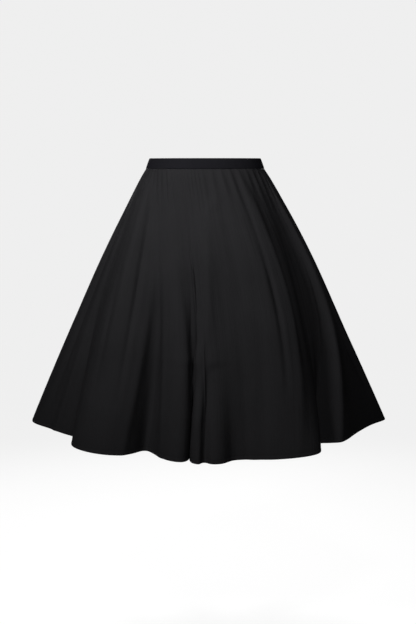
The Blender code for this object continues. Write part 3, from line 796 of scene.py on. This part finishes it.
def band_section():
    """The strip's section as (depth into the band, height), up the outside and down the inside."""
    half = (BAND_TOP_Z - BAND_LOW_Z) / 2
    r = BAND_EDGE_ROUND
    points = []
    for side in (1, -1):
        for z in np.linspace(-half + r, half - r, FACE_STEPS, endpoint=False):
            crowned = -BAND_CROWN * (1 - (z / half) ** 2)
            points.append((crowned if side > 0 else BAND_WALL, side * z))
        for k in range(EDGE_STEPS):
            turn = math.pi * k / EDGE_STEPS
            depth = BAND_WALL / 2 * (1 - side * math.cos(turn))
            points.append((depth, side * (half - r + r * math.sin(turn))))
    points.append(points[0])
    return np.array(points)


def band_half_width(z):
    share = (z - BAND_LOW_Z) / (BAND_TOP_Z - BAND_LOW_Z)
    return BAND_LOW_HALF_WIDTH + (BAND_TOP_HALF_WIDTH - BAND_LOW_HALF_WIDTH) * share


section = band_section()
half_opening_deg = math.degrees(BAND_OPENING / 2 / BAND_TOP_HALF_WIDTH)
turns = np.linspace(-180 + half_opening_deg, 180 - half_opening_deg, BAND_COLUMNS + 1)
bpy.ops.mesh.primitive_grid_add(x_subdivisions=BAND_COLUMNS, y_subdivisions=len(section) - 1, size=1)
band = name_active("waistband_cloth")
band.data.uv_layers[0].name = "flat cut"
band_uv = band.data.uv_layers["flat cut"].data
for vertex in band.data.vertices:
    column = round((vertex.co.x + 0.5) * BAND_COLUMNS)
    depth, z = section[round((0.5 + vertex.co.y) * (len(section) - 1))]
    place = on_ellipse(band_half_width(z), turns[column])
    ripple = BAND_RIPPLE * math.cos(turns[column] * 0.55) * math.cos(turns[column] * 1.3 + 40 * z)
    place -= place / np.linalg.norm(place) * (depth + ripple)
    vertex.co = (place[0], place[1], z)
for uv in band_uv:
    uv.uv = (uv.uv[0] * BAND_UV_SIZE[0], uv.uv[1] * BAND_UV_SIZE[1])
select_only(band)
bpy.ops.object.mode_set(mode="EDIT")
bpy.ops.mesh.select_all(action="SELECT")
bpy.ops.mesh.remove_doubles(threshold=1e-6)
bpy.ops.mesh.select_all(action="DESELECT")
bpy.ops.mesh.select_non_manifold()
bpy.ops.mesh.edge_face_add()
bpy.ops.mesh.select_all(action="SELECT")
bpy.ops.mesh.normals_make_consistent(inside=False)
bpy.ops.object.mode_set(mode="OBJECT")
shade(band, CLOTH_EDGE_DEG)
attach(band, "skirt")
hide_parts("waistband")
print("waistband", triangles(band), "triangles")

# %% [markdown]
# ## The zip at the back
#
# A concealed zip is sewn inside the centre back, so that only its small tab shows above the seam. Its two tapes are
# narrow strips of cloth. The frame's strips already follow the band and the cloth below it, so the surface of each is
# read off the frame row by row and laid again with more points.

# %% Zip tapes
TAPE_WALL = 0.7 * MM
TAPE_ROWS_EACH = 10
TAPE_ACROSS = 12


def strip_rows(node_name):
    """The outer face of one of the frame's narrow strips, as rows of points from the top down."""
    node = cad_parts[node_name]
    corners = np.array([node.matrix_world @ vertex.co for vertex in node.data.vertices]).round(5)
    rows = []
    for z in sorted(set(corners[:, 2]), reverse=True):
        level = corners[corners[:, 2] == z]
        across = sorted(set(level[:, 0]))
        rows.append([(x, level[level[:, 0] == x][:, 1].max(), z) for x in across])
    return np.array(rows)


def finer(rows, down, across):
    """The same surface with more rows and more points in each row."""
    for axis, count in enumerate((down, across)):
        at = np.linspace(0, rows.shape[axis] - 1, count)
        low = np.minimum(at.astype(int), rows.shape[axis] - 2)
        part = np.expand_dims(at - low, (1 - axis, 2))
        rows = np.take(rows, low, axis) * (1 - part) + np.take(rows, low + 1, axis) * part
    return rows


tapes = {}
for node_name in ("zip_tape_left", "zip_tape_right"):
    outline = strip_rows(node_name)
    rows = finer(outline, (len(outline) - 1) * TAPE_ROWS_EACH + 1, TAPE_ACROSS)
    steps = np.linalg.norm(np.diff(rows[:, 0], axis=0), axis=1)
    down = np.concatenate([[0.0], np.cumsum(steps)])
    width = float(rows[0, -1, 0] - rows[0, 0, 0])
    tape, row = sheet_object(node_name + "_cloth", rows, {"flat cut": evenly_laid(TAPE_ACROSS, down, width)})
    apply_modifier(tape, "SOLIDIFY", thickness=TAPE_WALL, offset=1)
    select_only(tape)
    bpy.ops.object.mode_set(mode="EDIT")
    bpy.ops.mesh.select_all(action="SELECT")
    bpy.ops.mesh.normals_make_consistent(inside=False)
    bpy.ops.object.mode_set(mode="OBJECT")
    shade(tape, CLOTH_EDGE_DEG)
    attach(tape, "skirt")
    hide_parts(node_name)
    tapes[node_name] = (tape, rows)
    print(tape.name, round(width * 1000, 1), "by", round(float(down[-1]) * 1000), "mm,", triangles(tape), "triangles")

# %% [markdown]
# What repeats is modelled once and copied. Each copy is put at its own place, and all are joined into one piece.

# %% Copying one small piece to many places
def copies(piece, frames, name):
    """Copies of a small piece, one for each 4 by 4 matrix, joined into one object with the given name."""
    made = []
    for matrix in frames:
        copy = piece.copy()
        copy.data = piece.data.copy()
        bpy.context.collection.objects.link(copy)
        copy.matrix_world = matrix
        made.append(copy)
    bpy.ops.object.select_all(action="DESELECT")
    for copy in made:
        copy.select_set(True)
    bpy.context.view_layer.objects.active = made[0]
    bpy.ops.object.join()
    bpy.ops.object.transform_apply(location=True, rotation=True, scale=True)
    return name_active(name)


def frame_at(place, along, out):
    """A matrix at a place whose X axis runs along and whose Z axis points out."""
    x = Vector(along).normalized()
    y = Vector(out).cross(x).normalized()
    z = x.cross(y)
    return Matrix.Translation(Vector(place)) @ Matrix((x, y, z)).transposed().to_4x4()


def evenly_spaced(line, pitch):
    """Places and directions along a line of points, one every pitch."""
    line = np.asarray(line)
    walked = np.concatenate([[0.0], np.cumsum(np.linalg.norm(np.diff(line, axis=0), axis=1))])
    at = np.arange(pitch / 2, walked[-1], pitch)
    places = np.stack([np.interp(at, walked, line[:, k]) for k in range(3)], axis=1)
    ahead = np.stack([np.interp(at + pitch / 4, walked, line[:, k]) for k in range(3)], axis=1)
    return places, ahead - places


print("copies are placed by matrices")

# %% [markdown]
# The teeth of a nylon zip are a thread coiled along each tape's edge. Seen from the inside they are a row of small
# round bars, which reach a little past the middle by turns from the left and from the right. One bar is a ball whose
# right half is drawn out in edit mode.

# %% One bar of the coil, and the whole row
COIL_PITCH = 1.3 * MM
COIL_RADIUS = 0.52 * MM
BAR_LENGTH = 2.3 * MM
BAR_PAST_MIDDLE = 0.35 * MM
CHAIN_WALL = 1.7 * MM

bpy.ops.mesh.primitive_uv_sphere_add(segments=8, ring_count=6, radius=COIL_RADIUS, rotation=(0, math.pi / 2, 0))
bar = name_active("coil_bar")
bpy.ops.object.transform_apply(location=False, rotation=True, scale=False)
bpy.ops.object.mode_set(mode="EDIT")
bpy.ops.mesh.select_mode(type="VERT")
bpy.ops.mesh.select_all(action="DESELECT")
bpy.ops.object.mode_set(mode="OBJECT")
for vertex in bar.data.vertices:
    vertex.select = vertex.co.x > COIL_RADIUS / 10
bpy.ops.object.mode_set(mode="EDIT")
bpy.ops.transform.translate(value=(BAR_LENGTH - 2 * COIL_RADIUS, 0, 0))
bpy.ops.object.mode_set(mode="OBJECT")
shade(bar, ROUND_EDGE_DEG)

chain_rows = strip_rows("zip_chain")
middle_line = chain_rows.mean(axis=1) - np.array([0, CHAIN_WALL / 2, 0])
places, directions = evenly_spaced(middle_line, COIL_PITCH)
frames = []
for k, (place, along) in enumerate(zip(places, directions)):
    side = 1 if k % 2 else -1
    out = np.cross((side, 0, 0), along)
    start = place + np.array([side * (COIL_RADIUS - BAR_PAST_MIDDLE), 0, 0])
    frames.append(frame_at(start, (side, 0, 0), out))
coil = copies(bar, frames, "zip_coil")
bpy.data.objects.remove(bar)
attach(coil, "skirt")
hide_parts("zip_chain")
print("coil of", len(frames), "bars,", triangles(coil), "triangles")

# %% [markdown]
# ## The sewing
#
# The hem is caught up inside with small slanting stitches, the band is stitched down inside along its lower edge, and
# each zip tape is stitched to the cloth. One stitch is a slim ball of thread that sinks into the cloth at both ends.

# %% One stitch, and the rows of stitches
HEM_STITCH_PITCH = 6.0 * MM
BAND_STITCH_PITCH = 2.6 * MM
ZIP_STITCH_PITCH = 3.0 * MM
STITCH_SLANT_DEG = 35
STITCH_LENGTH = 2.3 * MM
THREAD_WIDTH = 0.34 * MM
BAND_STITCH_Z = BAND_LOW_Z + 2.2 * MM
CLEAR_OF_ZIP = 16.0 * MM
BAND_LINE_END_DEG = 178.0
BAND_LINE_POINTS = 400
TAPE_STITCH_POINT = 2

bpy.ops.mesh.primitive_uv_sphere_add(segments=8, ring_count=6, radius=1)
stitch = name_active("stitch")
bpy.ops.transform.resize(value=(STITCH_LENGTH / 2, THREAD_WIDTH / 2, THREAD_WIDTH / 2))
bpy.ops.object.transform_apply(location=False, rotation=False, scale=True)
shade(stitch, ROUND_EDGE_DEG)
slanted = Matrix.Rotation(math.radians(STITCH_SLANT_DEG), 4, "Z")

frames = []
hem_stitch_row = int(np.argmin(np.abs((1 - cloth_shares) * CLOTH_LENGTH - HEM_TURN)))
for grid, normal in hem_rows:
    inside = grid[hem_stitch_row] - normal[hem_stitch_row] * HEM_WALL
    places, directions = evenly_spaced(inside, HEM_STITCH_PITCH)
    nearest = np.argmin(np.linalg.norm(inside[None] - places[:, None], axis=2), axis=1)
    for place, along, k in zip(places, directions, nearest):
        frames.append(frame_at(place, along, -normal[hem_stitch_row, k]) @ slanted)
hem_stitches = copies(stitch, frames, "hem_stitches")
print(len(frames), "hem stitches,", triangles(hem_stitches), "triangles")

# %% [markdown]
# The band's stitches stop beside the zip, where the tape's own stitches hold it. Each tape is sewn twice, close to
# the teeth and near its outer edge, so these rows follow the strips that the tapes were laid from.

# %% Stitches along the band and the tapes
frames = []
band_line = []
for degrees in np.linspace(-BAND_LINE_END_DEG, BAND_LINE_END_DEG, BAND_LINE_POINTS):
    place = on_ellipse(band_half_width(BAND_STITCH_Z), degrees)
    place -= place / np.linalg.norm(place) * BAND_WALL
    band_line.append((place[0], place[1], BAND_STITCH_Z))
places, directions = evenly_spaced(band_line, BAND_STITCH_PITCH)
for place, along in zip(places, directions):
    if abs(place[0]) > CLEAR_OF_ZIP or place[1] < 0:
        frames.append(frame_at(place, along, -place * (1, 1, 0)))
band_stitches = copies(stitch, frames, "band_stitches")

frames = []
for tape, rows in tapes.values():
    for k in (TAPE_STITCH_POINT, TAPE_ACROSS - 1 - TAPE_STITCH_POINT):
        places, directions = evenly_spaced(rows[:, k] - np.array([0, TAPE_WALL, 0]), ZIP_STITCH_PITCH)
        for place, along in zip(places, directions):
            frames.append(frame_at(place, along, np.cross((1, 0, 0), along)))
zip_stitches = copies(stitch, frames, "zip_stitches")
bpy.data.objects.remove(stitch)
for piece, slot in ((hem_stitches, "cloth"), (band_stitches, "band_cloth"), (zip_stitches, "zip_tape")):
    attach(piece, "skirt")
    print(piece.name, triangles(piece), "triangles")

# %% [markdown]
# ## A weave for every cloth
#
# Seen close, plain cloth is threads that go over and under each other in a chequer. One node group draws that for any
# piece: it takes the piece's own flat coordinates and how many threads a metre has, and gives a height and a mask.

# %% The weave as a node group
def new_group(name, inputs, outputs):
    """An empty node group with named sockets, and its input and output nodes."""
    tree = bpy.data.node_groups.new(name, "ShaderNodeTree")
    for socket_name, kind in inputs:
        tree.interface.new_socket(socket_name, in_out="INPUT", socket_type="NodeSocket" + kind)
    for socket_name, kind in outputs:
        tree.interface.new_socket(socket_name, in_out="OUTPUT", socket_type="NodeSocket" + kind)
    return tree, tree.nodes.new("NodeGroupInput").outputs, tree.nodes.new("NodeGroupOutput")


weave, given, result = new_group(
    "plain weave", [("Flat", "Vector"), ("Threads", "Float")], [("Height", "Float"), ("Gaps", "Float")]
)


def rounded(place):
    """Across one thread after another: 0 between two threads and 1 on top of each."""
    return calc(weave, "ABSOLUTE", calc(weave, "SINE", calc(weave, "MULTIPLY", place, math.pi)))


split = add_node(weave, "SeparateXYZ", {0: given["Flat"]})
warp_place = calc(weave, "MULTIPLY", split.outputs["X"], given["Threads"])
weft_place = calc(weave, "MULTIPLY", split.outputs["Y"], given["Threads"])
warp = rounded(warp_place)
weft = rounded(weft_place)
counted = calc(weave, "ADD", calc(weave, "FLOOR", warp_place), calc(weave, "FLOOR", weft_place))
over = calc(weave, "ABSOLUTE", calc(weave, "MODULO", counted, 2.0))
under = calc(weave, "SUBTRACT", 1.0, over)
feed(weave, result, {
    "Height": calc(weave, "ADD", calc(weave, "MULTIPLY", warp, over), calc(weave, "MULTIPLY", weft, under)),
    "Gaps": calc(weave, "MULTIPLY", calc(weave, "SUBTRACT", 1.0, warp), calc(weave, "SUBTRACT", 1.0, weft)),
})
print("group", weave.name, len(weave.nodes), "nodes")

# %% [markdown]
# Black cloth is never one black. Dust, handling and the pressing iron leave faint lighter and darker clouds, which a
# second group makes from soft noise on the object's own coordinates.

# %% Faint clouds as a node group
clouds, given, result = new_group(
    "faint clouds", [("Size", "Float"), ("Strength", "Float")], [("Shade", "Float")]
)
coordinates = add_node(clouds, "TexCoord", {})
soft_noise = add_node(clouds, "TexNoise", {
    "Vector": coordinates.outputs["Object"], "Scale": given["Size"], "Detail": 3,
})
centred = calc(clouds, "SUBTRACT", soft_noise.outputs[0], 0.5)
feed(clouds, result, {"Shade": calc(clouds, "ADD", 1.0, calc(clouds, "MULTIPLY", centred, given["Strength"]))})
print("group", clouds.name, len(clouds.nodes), "nodes")

# %% [markdown]
# ## The materials
#
# Skirt cloth, band cloth and zip tape all use the two groups with their own values. The colour is one black times the
# clouds, darker between the threads, and the thread's height goes through a Bump node. Matt black cloth has almost no
# shine of its own, so its specular level is low.

# %% One function for every woven material
GAP_SHADE = 0.5
CLOTH_SHINE = 0.02
WOVEN_COLUMNS = ("name", "colour", "threads", "roughness", "thread_height", "cloud_size", "cloud_strength")
WOVEN = (
    ("black skirt cloth", (0.0190, 0.0187, 0.0200), 1700, 0.85, 0.10 * MM, 9, 0.35),
    # The band's black is darker than the skirt cloth's as painted shade, for a band that stands upright and faces the
    # light less; its bluer tint is the band's own.
    ("black band cloth", (0.0098, 0.0096, 0.0118), 2400, 0.70, 0.06 * MM, 14, 0.30),
    ("black zip tape", (0.0120, 0.0120, 0.0125), 1500, 0.75, 0.12 * MM, 20, 0.20),
)


def cloud_shade(tree, size, strength):
    """The shade of the faint clouds, around 1."""
    return add_node(tree, "Group", {"Size": size, "Strength": strength}, node_tree=clouds).outputs["Shade"]


def scaled(tree, colour, scale):
    """A colour made lighter or darker by a factor."""
    return add_node(tree, "VectorMath", {0: colour, "Scale": scale}, operation="SCALE").outputs[0]


def woven(row):
    """The material of one row of the table, whose threads are counted to the metre."""
    cloth = dict(zip(WOVEN_COLUMNS, row))
    material, tree, shader = new_material(cloth["name"])
    flat = add_node(tree, "UVMap", {}, uv_map="flat cut")
    threads = add_node(
        tree, "Group", {"Threads": cloth["threads"], "Flat": flat.outputs["UV"]}, node_tree=weave
    ).outputs
    darker = calc(tree, "SUBTRACT", 1.0, calc(tree, "MULTIPLY", threads["Gaps"], GAP_SHADE))
    both = calc(tree, "MULTIPLY", darker, cloud_shade(tree, cloth["cloud_size"], cloth["cloud_strength"]))
    bump = add_node(tree, "Bump", {
        "Distance": cloth["thread_height"], "Strength": 0.6, "Height": threads["Height"],
    })
    feed(tree, shader, {
        "Base Color": scaled(tree, cloth["colour"], both),
        "Roughness": cloth["roughness"],
        "Specular IOR Level": CLOTH_SHINE,
        "Normal": bump.outputs["Normal"],
    })
    return material


cloth_black, band_black, tape_black = [woven(row) for row in WOVEN]
for panel in panels.values():
    wear(panel, cloth_black)
wear(band, band_black)
for tape, rows in tapes.values():
    wear(tape, tape_black)
print("three woven materials")

# %% [markdown]
# Gathered cloth also keeps fine crinkles, far finer than a mesh could hold. They run down the fall of the skirt, so
# this noise is stretched along the second UV map. The hem's very edge is painted lighter, a painted highlight for the
# light its folded edge catches.

# %% Crinkles and a painted highlight on the hem's edge in the skirt cloth
CRINKLE_STRETCH = (1.0, 0.06, 1.0)
PAINTED_HIGHLIGHT_FROM = 0.4 * MM
PAINTED_HIGHLIGHT_TO = 2.6 * MM
PAINTED_HIGHLIGHT_GAIN = 1.7

tree = cloth_black.node_tree
shader = tree.nodes["Principled BSDF"]
thread_bump = next(node for node in tree.nodes if node.bl_idname == "ShaderNodeBump")
fall_map = add_node(tree, "UVMap", {}, uv_map="fall")
stretched = add_node(
    tree, "VectorMath", {0: fall_map.outputs["UV"], 1: CRINKLE_STRETCH}, operation="MULTIPLY"
)
crinkle = add_node(tree, "TexNoise", {
    "Vector": stretched.outputs[0], "Scale": 130, "Detail": 4, "Roughness": 0.6,
})
crinkle_bump = add_node(tree, "Bump", {"Strength": 0.55, "Distance": 1.6 * MM, "Height": crinkle.outputs[0]})
feed(tree, thread_bump, {"Normal": crinkle_bump.outputs["Normal"]})

# Painted highlight: the base colour grows lighter within a few millimetres of the hem's edge, standing in for light
# caught there.
above_hem = add_node(tree, "Attribute", {}, attribute_name="above_hem")
painted_hem_highlight = add_node(tree, "MapRange", {
    "Value": above_hem.outputs["Fac"],
    "From Min": PAINTED_HIGHLIGHT_FROM,
    "From Max": PAINTED_HIGHLIGHT_TO,
    "To Min": PAINTED_HIGHLIGHT_GAIN,
    "To Max": 1.0,
})
plain_black = shader.inputs["Base Color"].links[0].from_socket
feed(tree, shader, {"Base Color": scaled(tree, plain_black, painted_hem_highlight.outputs["Result"])})
print("skirt cloth has", len(tree.nodes), "nodes")

# %% [markdown]
# Sewing thread is two plies twisted together, which shows as slanting bands along every stitch. The coil is a smooth
# single strand of nylon, and only handling dulls it.

# %% Thread and nylon
thread, tree, shader = new_material("black sewing thread")
coordinates = add_node(tree, "TexCoord", {})
twist = add_node(
    tree, "TexWave", {"Scale": 900, "Vector": coordinates.outputs["Object"]}, bands_direction="DIAGONAL"
).outputs["Fac"]
ply_tint = add_node(
    tree, "Mix", {"A": (0.009, 0.009, 0.010, 1), "B": (0.026, 0.026, 0.028, 1), "Factor": twist}, data_type="RGBA"
)
ply_bump = add_node(tree, "Bump", {"Strength": 0.5, "Distance": 0.05 * MM, "Height": twist})
feed(tree, shader, {
    "Base Color": ply_tint.outputs["Result"], "Roughness": 0.6, "Normal": ply_bump.outputs["Normal"],
})
for piece in (hem_stitches, band_stitches, zip_stitches):
    wear(piece, thread)

nylon, tree, shader = new_material("black nylon coil")
handled = cloud_shade(tree, 160, 0.9)
feed(tree, shader, {
    "Base Color": scaled(tree, (0.013, 0.013, 0.014), handled),
    "Roughness": calc(tree, "MULTIPLY", handled, 0.38),
    "Specular IOR Level": 0.4,
})
wear(coil, nylon)
print("thread on three rows of stitches, nylon on the coil")

# %% [markdown]
# The zip's slider and its pull tab are enamelled metal, and the solid pieces already have their shape. Enamel is
# smooth and half glossy. Fingers and nails leave small scuffs in it, where the grey metal shows through.

# %% Enamelled metal
enamel, tree, shader = new_material("black enamelled metal")
coordinates = add_node(tree, "TexCoord", {})
scuff_noise = add_node(tree, "TexNoise", {
    "Vector": coordinates.outputs["Object"], "Scale": 700, "Detail": 5,
})
scuffed = add_node(tree, "MapRange", {
    "Value": scuff_noise.outputs[0], "From Min": 0.60, "From Max": 0.68,
}).outputs["Result"]
scuff_tint = add_node(
    tree, "Mix", {"A": (0.014, 0.014, 0.016, 1), "B": (0.16, 0.16, 0.165, 1), "Factor": scuffed}, data_type="RGBA"
)
smooth_part = calc(tree, "MULTIPLY", cloud_shade(tree, 400, 0.6), 0.36)
feed(tree, shader, {
    "Base Color": scuff_tint.outputs["Result"],
    "Metallic": scuffed,
    "Roughness": calc(tree, "ADD", smooth_part, calc(tree, "MULTIPLY", scuffed, 0.25)),
    "Coat Weight": 0.15,
    "Specular IOR Level": 0.2,
})
for node_name in ("zip_slider", "zip_pull_tab"):
    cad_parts[node_name].material_slots[0].material = enamel
print("enamel on the slider and the pull tab")
